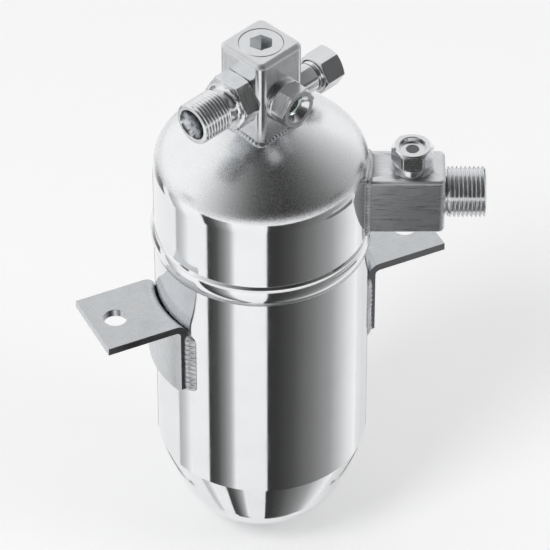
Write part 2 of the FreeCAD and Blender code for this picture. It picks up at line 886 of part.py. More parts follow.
def inlet_block():
    body = new_body("inlet_block")
    high = c.side_height / 2
    start = inner_radius / 2
    block = padded(body, draw_rectangle(body, "YZ_Plane", -side_half, side_half, -high, high, start),
                   c.side_end - start)
    face = c.side_end.value
    block = rounded(body, block, c.side_end_round,
                    lambda edge: runs_along(edge, Z) and edge.Vertexes[0].X > face - 1)
    block = rounded(body, block, c.side_edge_round, lambda edge: runs_along(edge, X))
    can_side(body)
    padded(body, draw_circle(body, "YZ_Plane", c.side_spigot_radius,
                             c.can_radius - c.side_spigot_depth),
           c.side_spigot_depth + 2 * c.cut_margin)
    crest, cut = c.inlet_thread_radius, c.thread_chamfer
    spout = [
        (c.side_end - c.cut_margin, 0),
        (c.side_end - c.cut_margin, c.inlet_relief_radius),
        (inlet_thread_start, c.inlet_relief_radius),
        (inlet_thread_start, crest - cut),
        (inlet_thread_start + cut, crest),
        (inlet_end - cut, crest),
        (inlet_end, crest - cut),
        (inlet_end, 0),
    ]
    revolved(body, draw_outline(body, "XZ_Plane", spout), axis="H_Axis")
    bore = [
        (inlet_start, 0),
        (inlet_start, c.inlet_bore_radius),
        (inlet_end - c.inlet_mouth_depth, c.inlet_bore_radius),
        (inlet_end, c.inlet_mouth_radius),
        (inlet_end + c.cut_margin, c.inlet_mouth_radius),
        (inlet_end + c.cut_margin, 0),
    ]
    revolved(body, draw_outline(body, "XZ_Plane", bore), cut=True, axis="H_Axis")
    start = high + c.cut_margin
    for radius, low_end in (
            (c.fuse_shank_radius + 2 * c.seal_wire + 2 * c.fit_gap, high - recess_depth),
            (c.fuse_shank_radius + c.fit_gap, high - c.fuse_shank_length - c.fit_gap),
            (c.fuse_core_radius, 0)):
        pocketed(body, draw_circle(body, "XY_Plane", radius, start, c.fuse_place), start - low_end)
    place(body, z=c.side_level)
    return body


def inlet_block_weld():
    """Bevelled fillet of weld metal round the side block's root, curved with the can."""
    body = new_body("inlet_block_weld")
    half, high = side_half + c.side_weld_leg, c.side_height / 2 + c.side_weld_leg
    outer = c.can_radius + c.side_weld_leg
    start = root(c.can_radius * c.can_radius - half * half) - c.cut_margin
    far = c.side_height
    padded(body, draw_rectangle(body, "YZ_Plane", -half, half, -high, high, start), outer - start)
    beyond = draw_rectangle(body, "XZ_Plane", outer, 2 * c.can_radius, -far, far)
    bead = revolved(body, beyond, cut=True)
    doc.recompute()
    names = [f"Edge{number}" for number, edge in enumerate(bead.Shape.Edges, start=1)
             if all(abs(math.hypot(v.X, v.Y) - outer.value) < 1e-4 for v in edge.Vertexes)]
    bevel = body.newObject("PartDesign::Chamfer", "bevel")
    bevel.Base = (bead, names)
    bevel.setExpression("Size", c.side_weld_bevel.formula)
    can_side(body)
    inside = draw_rectangle(body, "YZ_Plane", -side_half, side_half, -c.side_height / 2,
                            c.side_height / 2, start - c.cut_margin)
    pocketed(body, inside, outer - start + 2 * c.cut_margin, backwards=True)
    place(body, z=c.side_level)
    return body


def fusible_plug():
    body = new_body("fusible_plug")
    hex_start = c.seat_gap + c.fuse_flange_length
    end = hex_start + c.fuse_hex_length
    padded(body, draw_hexagon(body, c.fuse_hex, hex_start), c.fuse_hex_length)
    chamfer_hexagon(body, c.fuse_hex, hex_start, end)
    turned(body, [
        (c.fuse_shank_radius, -c.fuse_shank_length),
        (c.fuse_shank_radius, c.seat_gap),
        (c.fuse_flange_radius, c.seat_gap),
        (c.fuse_flange_radius, hex_start - c.fuse_flange_bevel),
        (c.fuse_flange_radius - c.fuse_flange_bevel, hex_start),
    ])
    turned(body, [
        (c.fuse_core_radius + c.seat_gap, -c.fuse_shank_length - c.cut_margin),
        (c.fuse_core_radius + c.seat_gap, end - c.fuse_dish_depth),
        (c.fuse_dish_radius - c.fuse_dish_slope, end - c.fuse_dish_depth),
        (c.fuse_dish_radius, end),
        (c.fuse_dish_radius, end + c.cut_margin),
    ], cut=True)
    place(body, c.fuse_place, 0, side_top)
    return body


def fusible_core():
    """The low-melting metal that fills the plug's bore."""
    body = new_body("fusible_core")
    top = c.seat_gap + c.fuse_flange_length + c.fuse_hex_length - c.fuse_dish_depth
    turned(body, [(c.fuse_core_radius, -c.fuse_shank_length), (c.fuse_core_radius, top)])
    place(body, c.fuse_place, 0, side_top)
    return body


def fusible_plug_seal():
    body = seal_ring("fusible_plug_seal", c.fuse_shank_radius, -recess_depth / 2)
    place(body, c.fuse_place, 0, side_top)
    return body


# Brackets, each drawn with its tab along its own X

# The angle that a bracket's ring covers before it is trimmed to the tab's width
BRACKET_ARC = 120


def bracket(label, azimuth):
    """Angle bracket whose leg is rolled to the can and whose tab stands out level."""
    body = new_body(label)
    half = c.tab_width / 2
    outer = c.can_radius + c.sheet_thickness
    bend = outer + c.bend_radius
    far = root(c.tab_reach * c.tab_reach + half * half) + c.cut_margin
    path = [
        (c.can_radius, -c.leg_depth),
        (outer, -c.leg_depth),
        (outer, -c.bend_radius),
        arc(bend, -c.bend_radius, "right"),
        corner(bend, 0, "x"),
        (far, 0),
        (far, c.sheet_thickness),
        (bend, c.sheet_thickness),
        arc(bend, -c.bend_radius, "left"),
        corner(c.can_radius, -c.bend_radius, "y"),
    ]
    ring = revolved(body, draw_outline(body, "XZ_Plane", path))
    ring.Angle = BRACKET_ARC
    ring.Midplane = True
    top = c.sheet_thickness + c.cut_margin
    depth = top + c.leg_depth + c.cut_margin
    rim = far + c.cut_margin
    for left, right, low, high in (
            (0, rim, half, rim),
            (0, rim, -rim, -half),
            (c.tab_reach, rim, -rim, rim)):
        strip = pocketed(body, draw_rectangle(body, "XY_Plane", left, right, low, high, top), depth)
    foot = -c.leg_depth.value
    rounded(body, strip, c.leg_corner_round,
            lambda edge: runs_along(edge, X) and abs(edge.Vertexes[0].Z - foot) < 1e-3)
    hole = draw_circle(body, "XY_Plane", c.tab_hole_radius, top, c.tab_hole_place)
    pocketed(body, hole, depth)
    place(body, rotation=FreeCAD.Rotation(Z, azimuth))
    return body


def bracket_weld(label, azimuth, side):
    """Bead of weld metal along one upright edge of a leg, lying on the can."""
    body = new_body(label)
    edge = c.tab_width / 2
    root_place = root(c.can_radius * c.can_radius - edge * edge)
    toe = edge + c.leg_weld_reach
    toe_place = root(c.can_radius * c.can_radius - toe * toe)
    under = toe_place - c.cut_margin
    middle = edge + c.leg_weld_reach / 2
    middle_place = (root_place + c.leg_weld_climb + toe_place) / 2 + c.leg_weld_crown
    section = [
        (under, edge),
        (root_place + c.leg_weld_climb, edge),
        (middle_place, middle),
        (toe_place, toe),
        (under, toe),
    ]
    start = -c.leg_depth
    outline = draw_outline(body, "XY_Plane", [(x, y * side) for x, y in section], start)
    padded(body, outline, -start - c.bend_radius - c.leg_weld_margin)
    drum = draw_rectangle(body, "XZ_Plane", 0, c.can_radius, -2 * c.leg_depth, c.leg_depth)
    revolved(body, drum, cut=True)
    place(body, rotation=FreeCAD.Rotation(Z, azimuth))
    return body


# Inside the can, from the bottom up

STRAINER_ROW_COUNT, STRAINER_HOLE_COUNT = 3, 8
# The rings of holes in a screen: radius as a share of the screen's, and the count of holes
SCREEN_RING_SHARES = (0.3, 0.55, 0.8)
SCREEN_HOLE_COUNTS = (6, 12, 18)
SPRING_STEP_COUNT = 16
WIRE_SIDE_COUNT = 8


def pickup_tube():
    body = new_body("pickup_tube")
    top = dome_top + c.tube_socket - c.seat_gap
    ring = draw_rectangle(body, "XZ_Plane", c.tube_radius - c.tube_wall, c.tube_radius,
                          tube_end, top)
    revolved(body, ring)
    return body


def tube_strainer():
    """Perforated cup clipped over the tube's lower end."""
    body = new_body("tube_strainer")
    top = tube_end + c.strainer_lap
    low = top - c.strainer_height
    inside = c.strainer_radius - c.strainer_wall
    collar = c.tube_radius + c.fit_gap
    path = [
        (0, low),
        (c.strainer_radius, low),
        (c.strainer_radius, top),
        (collar, top),
        (collar, top - c.strainer_wall),
        (inside, top - c.strainer_wall),
        (inside, low + c.strainer_wall),
        (0, low + c.strainer_wall),
    ]
    revolved(body, draw_outline(body, "XZ_Plane", path))
    for row in range(1, STRAINER_ROW_COUNT + 1):
        hole = draw_circle(body, "YZ_Plane", c.strainer_hole_radius, 0, 0,
                           low + c.strainer_height * row / (STRAINER_ROW_COUNT + 1))
        cut = pocketed(body, hole, c.strainer_radius + c.cut_margin, backwards=True)
        doc.recompute()
        polar(body, cut, STRAINER_HOLE_COUNT)
    return body


disc_radius = inner_radius - c.disc_gap
disc_bore = c.tube_radius + c.slip_gap


def flat_disc(label, low, thickness):
    body = new_body(label)
    ring = draw_rectangle(body, "XZ_Plane", disc_bore, disc_radius, low, low + thickness)
    revolved(body, ring)
    return body


def screen(label, low):
    """Perforated plate with three rings of holes."""
    body = flat_disc(label, low, c.screen_thickness)
    for share, count in zip(SCREEN_RING_SHARES, SCREEN_HOLE_COUNTS):
        hole = draw_circle(body, "XY_Plane", c.screen_hole_radius,
                           low + c.screen_thickness + c.cut_margin, disc_radius * share)
        cut = pocketed(body, hole, c.screen_thickness + 2 * c.cut_margin)
        doc.recompute()
        polar(body, cut, count)
    return body


def bed_spring(low):
    """Coil spring from the upper screen to the dome, with a closed turn at each end."""
    wire, radius = c.spring_wire.value, c.spring_radius.value
    ball = c.dome_radius - c.can_wall - c.spring_wire - c.seat_gap
    bottom = (low + c.spring_wire + c.seat_gap).value
    top = (dome_centre + root(ball * ball - c.spring_radius * c.spring_radius)).value
    count = int((c.spring_turns.value + 2) * SPRING_STEP_COUNT)
    closed_step = (2 * wire + c.slip_gap.value) / SPRING_STEP_COUNT
    quarter = SPRING_STEP_COUNT / 4
    past_closed = [min(n, count - n) - SPRING_STEP_COUNT for n in range(count)]
    openness = [min(1, max(0, steps / quarter)) for steps in past_closed]
    open_step = (top - bottom - closed_step * count) / sum(openness)
    level = bottom
    rings = []
    for number in range(count + 1):
        heading = FreeCAD.Rotation(Z, 360 * number / SPRING_STEP_COUNT)
        turns = [2 * math.pi * side / WIRE_SIDE_COUNT for side in range(WIRE_SIDE_COUNT)]
        ring = [FreeCAD.Vector(radius + wire * math.cos(turn), 0, level + wire * math.sin(turn))
                for turn in turns]
        rings.append(Part.makePolygon([heading.multVec(point) for point in ring + ring[:1]]))
        if number < count:
            level += closed_step + open_step * openness[number]
    spring = doc.addObject("Part::Feature", "bed_spring")
    spring.Label = "bed_spring"
    spring.Shape = Part.makeLoft(rings, True, True)
    return spring


# The pieces, in the order of assembly

lower_screen_level = inner_bend - c.disc_gap * lean_cosine / lean_sine + c.seat_gap
lower_pad_level = lower_screen_level + c.screen_thickness
bed_level = lower_pad_level + c.pad_thickness
upper_pad_level = bed_level + c.bed_height
upper_screen_level = upper_pad_level + c.pad_thickness
spring_level = upper_screen_level + c.screen_thickness

pieces = [
    lower_shell(),
    upper_shell(),
    girth_weld(),
    screen("lower_screen", lower_screen_level),
    flat_disc("lower_pad", lower_pad_level, c.pad_thickness),
    flat_disc("desiccant_bed", bed_level, c.bed_height),
    flat_disc("upper_pad", upper_pad_level, c.pad_thickness),
    screen("upper_screen", upper_screen_level),
    bed_spring(spring_level),
    pickup_tube(),
    tube_strainer(),
    head_block(),
    head_block_weld(),
    socket_plug(),
    socket_plug_seal(),
    outlet_fitting(),
    outlet_seal(),
    sight_glass_body(),
    sight_glass_lens(),
    sight_glass_seal(),
    service_stem(),
    service_stem_seal(),
    valve_core(),
    valve_pin(),
    service_cap(),
    service_cap_seal(),
    inlet_block(),
    inlet_block_weld(),
    fusible_plug(),
    fusible_core(),
    fusible_plug_seal(),
]
for name, azimuth in (("right", c.bracket_angle.value), ("left", c.bracket_angle.value + 180)):
    pieces.append(bracket(f"{name}_bracket", azimuth))
    pieces.append(bracket_weld(f"{name}_bracket_front_weld", azimuth, -1 if name == "right" else 1))
    pieces.append(bracket_weld(f"{name}_bracket_rear_weld", azimuth, 1 if name == "right" else -1))

doc.recompute()
for item in doc.Objects:
    if "Invalid" in item.State or "Error" in item.State:
        owner = item.getParentGeoFeatureGroup()
        raise RuntimeError(f"{item.Label} of {owner and owner.Label} could not be built: {item.State}")
for piece in pieces:
    if piece.Shape.isNull() or not piece.Shape.isValid() or len(piece.Shape.Solids) != 1:
        raise RuntimeError(f"{piece.Label} is not one sound solid")

os.makedirs("parts", exist_ok=True)
for piece in pieces:
    piece.Shape.exportStep(f"parts/{piece.Label}.step")
    box = piece.Shape.BoundBox
    print(f"{piece.Label:28} {piece.Shape.Volume:10.1f} mm3  "
          f"{box.XLength:6.1f} x {box.YLength:6.1f} x {box.ZLength:6.1f} mm")
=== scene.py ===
import bmesh
import bpy
import json
import math
from mathutils import Matrix, Vector
import numpy as np

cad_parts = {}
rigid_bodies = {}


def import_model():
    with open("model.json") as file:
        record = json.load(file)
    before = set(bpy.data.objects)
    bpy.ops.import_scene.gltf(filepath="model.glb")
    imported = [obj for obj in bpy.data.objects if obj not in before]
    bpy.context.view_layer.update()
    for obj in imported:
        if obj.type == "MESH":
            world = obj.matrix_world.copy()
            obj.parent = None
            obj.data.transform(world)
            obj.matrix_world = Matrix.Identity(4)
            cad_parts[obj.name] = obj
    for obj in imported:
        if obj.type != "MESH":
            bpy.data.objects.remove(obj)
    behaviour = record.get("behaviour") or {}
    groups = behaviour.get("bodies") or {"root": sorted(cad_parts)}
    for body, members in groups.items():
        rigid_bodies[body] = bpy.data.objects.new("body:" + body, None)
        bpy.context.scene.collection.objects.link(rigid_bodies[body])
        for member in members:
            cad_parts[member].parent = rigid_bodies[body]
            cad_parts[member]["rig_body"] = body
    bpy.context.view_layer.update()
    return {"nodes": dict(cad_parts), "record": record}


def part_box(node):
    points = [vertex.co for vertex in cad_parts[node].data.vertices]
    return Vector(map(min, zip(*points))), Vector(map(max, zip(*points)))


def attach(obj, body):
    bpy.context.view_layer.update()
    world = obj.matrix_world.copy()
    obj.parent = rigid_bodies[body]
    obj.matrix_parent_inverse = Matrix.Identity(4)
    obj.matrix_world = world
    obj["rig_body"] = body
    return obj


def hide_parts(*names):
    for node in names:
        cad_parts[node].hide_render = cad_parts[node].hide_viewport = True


# Looks of a filter drier: a bright plated steel can with a machined head block, a side
# inlet block and two sheet brackets. Lengths are in metres unless a name ends in _mm.

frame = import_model()
nodes = frame["nodes"]
slot_of = {row["node"]: row["material_slot"] for row in frame["record"]["subparts"]}

MM = 0.001

# Places and sizes of the solids that the pieces made here stand on
FLOOR_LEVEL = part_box("lower_shell")[0].z
CAN_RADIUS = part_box("lower_shell")[1].x
SHOULDER_LEVEL = 55.8 * MM
DOME_RADIUS, DOME_CENTRE = 58.0 * MM, 19.7 * MM
BEAD_RADIUS, BEAD_CENTRE, BEAD_MIDDLE = 6.8 * MM, 34.5 * MM, 26.2 * MM
HALF_BLOCK, BLOCK_ROUND = 11.0 * MM, 3.0 * MM
SIDE_LEVEL, SIDE_HALF, SIDE_HIGH, SIDE_ROUND = 42.4 * MM, 9.7 * MM, 12.0 * MM, 1.2 * MM
SIDE_TOP, SIDE_END_MM, FUSE_PLACE = 54.4 * MM, 67.6, 55.4 * MM
OUTLET_LEVEL, GLASS_LEVEL, SERVICE_LEVEL = 94.0 * MM, 92.3 * MM, 82.4 * MM
OUTLET_HEADING, GLASS_HEADING, SERVICE_HEADING = 225, 315, 45
BRACKET_HEADINGS = {"right": 25.6, "left": 205.6}
LEG_LOW, LEG_HIGH, LEG_EDGE = -29.7 * MM, -2.3 * MM, 15.0 * MM

# The camera looks along +Y and down at 41 degrees.
CAMERA_PITCH = math.radians(41)
CAMERA_DISTANCE = 1.687
CAMERA_LENS_MM, CAMERA_SENSOR_MM = 294.5, 36
AIM = np.array([5.02, 0, 1.5]) * MM
BACKWARDS = np.array([0, -math.cos(CAMERA_PITCH), math.sin(CAMERA_PITCH)])
CAMERA_PLACE = AIM + CAMERA_DISTANCE * BACKWARDS

# Light that the floor gives to eyes and mirrors, and that the room gives to matt surfaces
FLOOR_LIFT = 0.16
ROOM_LIGHT = 0.62

# Cards on the floor may overlap, so each kind lies at a height of its own.
WALL_CARD_HEIGHT, LEVEL_CARD_HEIGHT, FAN_CARD_HEIGHT = 0.4 * MM, 0.6 * MM, 0.8 * MM
CARD_COLUMNS, CARD_ROWS = 61, 40


# Meshes

def new_piece(name, points, faces):
    """A new object with a mesh of these points and faces, in the scene."""
    mesh = bpy.data.meshes.new(name)
    mesh.from_pydata(points, [], faces)
    mesh.update()
    piece = bpy.data.objects.new(name, mesh)
    bpy.context.scene.collection.objects.link(piece)
    return piece


def grid_faces(rows, columns, round_rows=False, round_columns=False):
    """Quads that join each point of a rows x columns grid to its neighbours.

    A grid that is round one way also joins its last row or column to its first.
    """
    row = np.arange(rows if round_rows else rows - 1)[:, None]
    column = np.arange(columns if round_columns else columns - 1)[None, :]
    below, beside = (row + 1) % rows, (column + 1) % columns
    corners = (row * columns + column, row * columns + beside,
               below * columns + beside, below * columns + column)
    return np.stack(np.broadcast_arrays(*corners), axis=-1).reshape(-1, 4).tolist()


def face_outwards(piece):
    """Turns all faces of a closed mesh outwards."""
    mesh = bmesh.new()
    mesh.from_mesh(piece.data)
    bmesh.ops.recalc_face_normals(mesh, faces=mesh.faces)
    mesh.to_mesh(piece.data)
    mesh.free()


def stands_for(piece, node, smooth_angle):
    """Puts a piece in a CAD node's place, on its body and with its finish."""
    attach(piece, nodes[node]["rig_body"])
    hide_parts(node)
    piece.data.materials.clear()
    piece.data.materials.append(finish_of(node))
    piece.data.shade_smooth()
    piece.data.set_sharp_from_angle(angle=math.radians(smooth_angle))


def keep_flats_flat(piece):
    """Lets the large faces set the normals, so that rounded edges don't bend their light."""
    normals = piece.modifiers.new("flat_faces", "WEIGHTED_NORMAL")
    normals.keep_sharp = True
    normals.weight = 90


def along(heading, level):
    """Matrix from a fitting's own axes, its Z outwards and its X upwards, to the frame's."""
    turn = math.radians(heading)
    outward = Vector((math.cos(turn), math.sin(turn), 0))
    upward = Vector((0, 0, 1))
    side = outward.cross(upward)
    matrix = Matrix((upward, side, outward)).transposed().to_4x4()
    matrix.translation = (0, 0, level)
    return matrix


def carried(matrix, points):
    """An array of points moved by a matrix."""
    turn = np.array(matrix.to_3x3())
    return points @ turn.T + np.array(matrix.translation)


def turned_by(heading, points):
    """Points turned about the can's axis, each a row of an array."""
    turn = math.radians(heading)
    cosine, sine = math.cos(turn), math.sin(turn)
    return points @ np.array([[cosine, sine, 0], [-sine, cosine, 0], [0, 0, 1]])


# Screw threads and flats

def threaded_end(node, matrix, cut_at, neck, thread, mouth, crest, depth, pitch):
    """A fitting whose plain threaded end is made again with a real helical thread.

    The end is a grid of rings, in millimetres: the neck's, the thread's and the mouth's. Those
    of the neck and the mouth are given as (radius, place on the axis). On the thread the
    radius falls by the depth times a rounded V wave of place / pitch - turn / one round, so
    that the groove climbs by one pitch in each round, and it stays inside a cone at both ends.
    The copy of the node is cut off at cut_at and joined to the grid's two open rims.
    """
    steps_round, steps_per_pitch = 72, 12
    steepness, land, rounding, run_in, chamfer = 1.25, 0.08, 0.35, 0.8, 0.5
    first, last = thread
    place = np.linspace(first, last, int((last - first) / pitch * steps_per_pitch))
    turn = np.linspace(0, 2 * math.pi, steps_round, endpoint=False)[None, :]
    wave = (place[:, None] / pitch - turn / (2 * math.pi)) % 1.0
    groove = np.clip(steepness * (1 - np.abs(2 * wave - 1)) - land, 0, 1)
    groove = groove * groove * (3 - 2 * groove) * rounding + groove * (1 - rounding)
    fade = np.clip((place[:, None] - first) / (run_in * pitch), 0, 1)
    cone = crest - chamfer + np.minimum(place - first, last - place)[:, None]
    threaded = np.minimum(crest - depth * groove * fade, cone)

    all_round = np.ones(turn.size)[None, :]
    before, after = np.array(neck), np.array(mouth)
    rings = np.concatenate([before[:, :1] * all_round, threaded, after[:, :1] * all_round])
    places = np.concatenate([before[:, 1], place, after[:, 1]])[:, None] * all_round
    points = np.stack([rings * np.cos(turn), rings * np.sin(turn), places], axis=-1) * MM
    points = carried(matrix, points.reshape(-1, 3))

    mesh = bmesh.new()
    mesh.from_mesh(nodes[node].data)
    bmesh.ops.remove_doubles(mesh, verts=mesh.verts, dist=1e-6)
    axis = matrix.to_3x3() @ Vector((0, 0, 1))
    middle = matrix @ Vector((0, 0, cut_at * MM))
    bmesh.ops.bisect_plane(mesh, geom=mesh.verts[:] + mesh.edges[:] + mesh.faces[:], dist=1e-7,
                           plane_co=middle, plane_no=axis, clear_outer=True)
    grid = [mesh.verts.new(point) for point in points.tolist()]
    for face in grid_faces(len(rings), turn.size, round_columns=True):
        mesh.faces.new([grid[index] for index in face])

    def from_axis(edge):
        gap = (edge.verts[0].co + edge.verts[1].co) / 2 - middle
        return (gap - axis * gap.dot(axis)).length

    limit = (neck[0][0] + mouth[-1][0]) / 2 * MM
    rims = [edge for edge in mesh.edges if edge.is_boundary]
    outside = [edge for edge in rims if from_axis(edge) > limit]
    inside = [edge for edge in rims if from_axis(edge) <= limit]
    for pair in (outside, inside):
        bmesh.ops.bridge_loops(mesh, edges=pair)
    bmesh.ops.recalc_face_normals(mesh, faces=mesh.faces)
    piece = new_piece(node + "_threaded", [], [])
    mesh.to_mesh(piece.data)
    mesh.free()
    stands_for(piece, node, 35)
    keep_flats_flat(piece)


def threaded_ends():
    """The outlet's 18, the inlet's 16 and the service stem's 20 threads per inch."""
    inch = 25.4
    threaded_end("outlet_fitting", along(OUTLET_HEADING, OUTLET_LEVEL), 20.0,
                 neck=((6.8, 20.3), (6.8, 22.2)), thread=(22.22, 35.02),
                 mouth=((6.1, 35.02), (5.9, 34.9), (4.2, 30.02), (4.2, 20.3)),
                 crest=7.94, depth=0.87, pitch=inch / 18)
    inlet_axis = Matrix(((0, 0, 1), (0, 1, 0), (-1, 0, 0))).to_4x4()
    inlet_axis.translation = (0, 0, SIDE_LEVEL)
    threaded_end("inlet_block", inlet_axis, 68.0,
                 neck=((8.3, 68.15), (8.3, 68.48)), thread=(68.5, 82.6),
                 mouth=((7.6, 82.6), (7.4, 82.48), (5.6, 77.6), (5.6, 68.15)),
                 crest=9.525, depth=0.98, pitch=inch / 16)
    threaded_end("service_stem", along(SERVICE_HEADING, SERVICE_LEVEL), 24.0,
                 neck=((5.55, 24.2), (5.55, 24.9)), thread=(25.0, 32.6),
                 mouth=((2.9, 32.6), (2.65, 32.4), (2.65, 24.2)),
                 crest=5.55, depth=0.55, pitch=inch / 20)


def milled_plug():
    """The fusible plug: a round head with six flats milled on it, above a round flange.

    The grid is a profile of (radius, height) in millimetres, carried round the axis. On the
    rows of the flats the radius is the smallest of the head's own radius, half the width
    across the flats / cosine of the turn from the nearest flat's middle, and a cone that
    falls outwards from the top.
    """
    head, half_flats, foot, top, top_radius, cone_angle = 7.8, 7.0, 3.8, 9.82, 6.5, 60
    shank, shank_end, seat_gap, bevel, cone_height, step_degrees = 5.0, -6.0, 0.02, 0.3, 1.4, 3.0
    lip_outer, lip_inner, lip_drop, dish, dish_floor, core = 5.1, 4.9, 0.2, 4.4, 8.22, 2.42
    flange = [(shank, shank_end), (shank, seat_gap), (head - bevel, seat_gap), (head, bevel),
              (head, foot - bevel), (head - bevel, foot)]
    recess = [(lip_outer, top), (lip_inner, top - lip_drop), (dish, dish_floor),
              (core, dish_floor), (core, shank_end)]
    corner = math.degrees(math.acos(half_flats / head))
    middles = np.arange(-90, 270, 60)
    turn = np.radians(np.unique(np.concatenate(
        [np.arange(-120, 240, step_degrees), middles - corner, middles + corner])))
    sixth = math.pi / 3
    from_middle = (turn + math.pi / 2 + sixth / 2) % sixth - sixth / 2
    flats = np.minimum(half_flats / np.cos(from_middle), head)[None, :]
    height = np.concatenate([[foot], np.linspace(top - cone_height, top, 15)])[:, None]
    cone = top_radius + (top - height) * math.tan(math.radians(cone_angle))

    all_round = np.ones(turn.size)[None, :]
    below, above = np.array(flange), np.array(recess)
    rings = np.concatenate([below[:, :1] * all_round, np.minimum(flats, cone),
                            above[:, :1] * all_round])
    places = np.concatenate([below[:, 1], height[:, 0], above[:, 1]])[:, None] * all_round
    points = np.stack([FUSE_PLACE + rings * np.cos(turn) * MM, rings * np.sin(turn) * MM,
                       SIDE_TOP + places * MM], axis=-1)
    faces = grid_faces(len(rings), turn.size, round_rows=True, round_columns=True)
    piece = new_piece("fusible_plug_milled", points.reshape(-1, 3).tolist(), faces)
    face_outwards(piece)
    stands_for(piece, "fusible_plug", 20)
    keep_flats_flat(piece)


# Weld beads

def weld_bead(node, wall, outward, lift, seat, leg, climb, crown, ripple_mm, closed=False):
    """A bead of weld metal in the corner between a wall and what it stands on.

    The wall's foot is a path. Across the path the bead runs from its toe, a leg outwards, over
    a crowned face to a climb up the wall, and back by the corner. Ripples are a wave along
    the path that lags in the middle of the face, as the crescents of a hand-laid bead do, and
    a slower wave makes them uneven. Open ends shrink as the quarter of a circle does.
    """
    steps_across, end_run, end_size = 9, 0.85, 0.004
    ripple, ripple_lag, ripple_push, uneven, uneven_rate = 0.11, 0.35, 0.8, 0.05, 0.85
    count = len(wall)
    steps = np.linalg.norm(np.diff(wall, axis=0, append=wall[:1]), axis=1)
    run = np.concatenate([[0], np.cumsum(steps)[:-1]])
    whole = run[-1] + steps[-1] if closed else run[-1]
    size = np.ones(count)
    if not closed:
        share = np.clip(np.minimum(run, whole - run) / (end_run * leg), 0, 1)
        size = np.sqrt(np.clip(1 - (1 - share) ** 2, end_size, 1))

    rounds = max(1, round(whole / (ripple_mm * MM))) * run[:, None] / whole
    across = np.linspace(0, 1, steps_across)[None, :, None]
    lag = ripple_lag * np.sin(math.pi * across[..., 0])
    wave = np.sin(2 * math.pi * (rounds - lag))
    swell = (1 + ripple * wave + uneven * np.sin(2 * math.pi * uneven_rate * rounds))[..., None]

    leg_now, climb_now = (leg * size)[:, None], (climb * size)[:, None]
    toe = seat(wall + outward * leg_now)
    chord = wall + lift * climb_now - toe
    face_out = (outward * climb_now + lift * leg_now)[:, None] / (climb + leg)
    bulge = 4 * across * (1 - across) * crown * size[:, None, None]
    face = toe[:, None] + chord[:, None] * across + face_out * 2 * bulge * swell
    push = face_out * (swell - 1) * leg * ripple_push * size[:, None, None]
    face[:, 1:-1] += push[:, 1:-1]

    points = np.concatenate([face, wall[:, None]], axis=1)
    columns = points.shape[1]
    faces = grid_faces(count, columns, round_rows=closed, round_columns=True)
    if not closed:
        faces.append(list(range(columns)))
        faces.append(list(range((count - 1) * columns, count * columns)))
    piece = new_piece(node + "_bead", points.reshape(-1, 3).tolist(), faces)
    face_outwards(piece)
    stands_for(piece, node, 50)


def bracket_beads():
    """Beads along both upright edges of each leg, on the can's round side."""
    level = np.linspace(LEG_LOW, LEG_HIGH, 96)
    foot = 0 * level + math.sqrt(CAN_RADIUS ** 2 - LEG_EDGE ** 2)

    def on_can(points):
        reach = np.sqrt(CAN_RADIUS ** 2 - points[:, 1] ** 2)
        return np.stack([reach, points[:, 1], points[:, 2]], axis=-1)

    for side, heading in BRACKET_HEADINGS.items():
        front = -1 if side == "right" else 1

        def seat(points):
            return turned_by(heading, on_can(turned_by(-heading, points)))

        for word, hand in (("front", front), ("rear", -front)):
            wall = np.stack([foot, 0 * level + hand * LEG_EDGE, level], axis=-1)
            outward, lift = turned_by(heading, np.array([[0.0, hand, 0], [1.0, 0, 0]]))
            weld_bead(f"{side}_bracket_{word}_weld", turned_by(heading, wall), outward, lift,
                      seat, leg=3.3 * MM, climb=1.7 * MM, crown=0.3 * MM, ripple_mm=2.3)


def rounded_rectangle(half_wide, half_high, corner, start, stop, count):
    """Points and outward directions along a rectangle with round corners.

    Both are worked out from the path's length, anticlockwise from the middle of the first
    side, which faces along the first axis; start and stop are shares of the whole round.
    """
    sides = np.array([2 * (half_high - corner), 2 * (half_wide - corner)] * 2)
    quarter = corner * math.pi / 2
    whole = sides.sum() + 4 * quarter
    run = (np.linspace(start, stop, count, endpoint=stop - start < 1) * whole
           + sides[0] / 2) % whole
    ends = np.cumsum(np.stack([sides, np.full(4, quarter)], axis=1).ravel())
    part = np.searchsorted(ends, run, side="right") % 8
    into = run - np.concatenate([[0], ends])[part]
    number, bend = part // 2, part % 2 == 1
    angle = number * math.pi / 2 + np.where(bend, into / corner, 0)
    outward = np.stack([np.cos(angle), np.sin(angle)], axis=-1)
    centres = np.array([(1, 1), (-1, 1), (-1, -1), (1, -1)]) * (half_wide - corner,
                                                               half_high - corner)
    forward = np.stack([-np.sin(number * math.pi / 2), np.cos(number * math.pi / 2)], axis=-1)
    before = centres[(number - 1) % 4]
    straight = before + forward * into[:, None]
    centre = np.where(bend[:, None], centres[number], straight)
    return centre + outward * corner, outward


def head_block_bead():
    """Bead round the head block's foot on the dome, open under the service port."""
    gap_share = 0.064
    foot, outward = rounded_rectangle(HALF_BLOCK, HALF_BLOCK, BLOCK_ROUND,
                                      gap_share, 1 - gap_share, count=260)

    def on_dome(points):
        level = DOME_CENTRE + np.sqrt(DOME_RADIUS ** 2 - points[:, 0] ** 2 - points[:, 1] ** 2)
        return np.stack([points[:, 0], points[:, 1], level], axis=-1)

    flat = np.zeros((len(foot), 1))
    wall = on_dome(turned_by(SERVICE_HEADING, np.hstack([foot, flat])))
    outward = turned_by(SERVICE_HEADING, np.hstack([outward, flat]))
    weld_bead("head_block_weld", wall, outward, np.array([0, 0, 1.0]), on_dome,
              leg=1.1 * MM, climb=1.2 * MM, crown=0.16 * MM, ripple_mm=1.5)


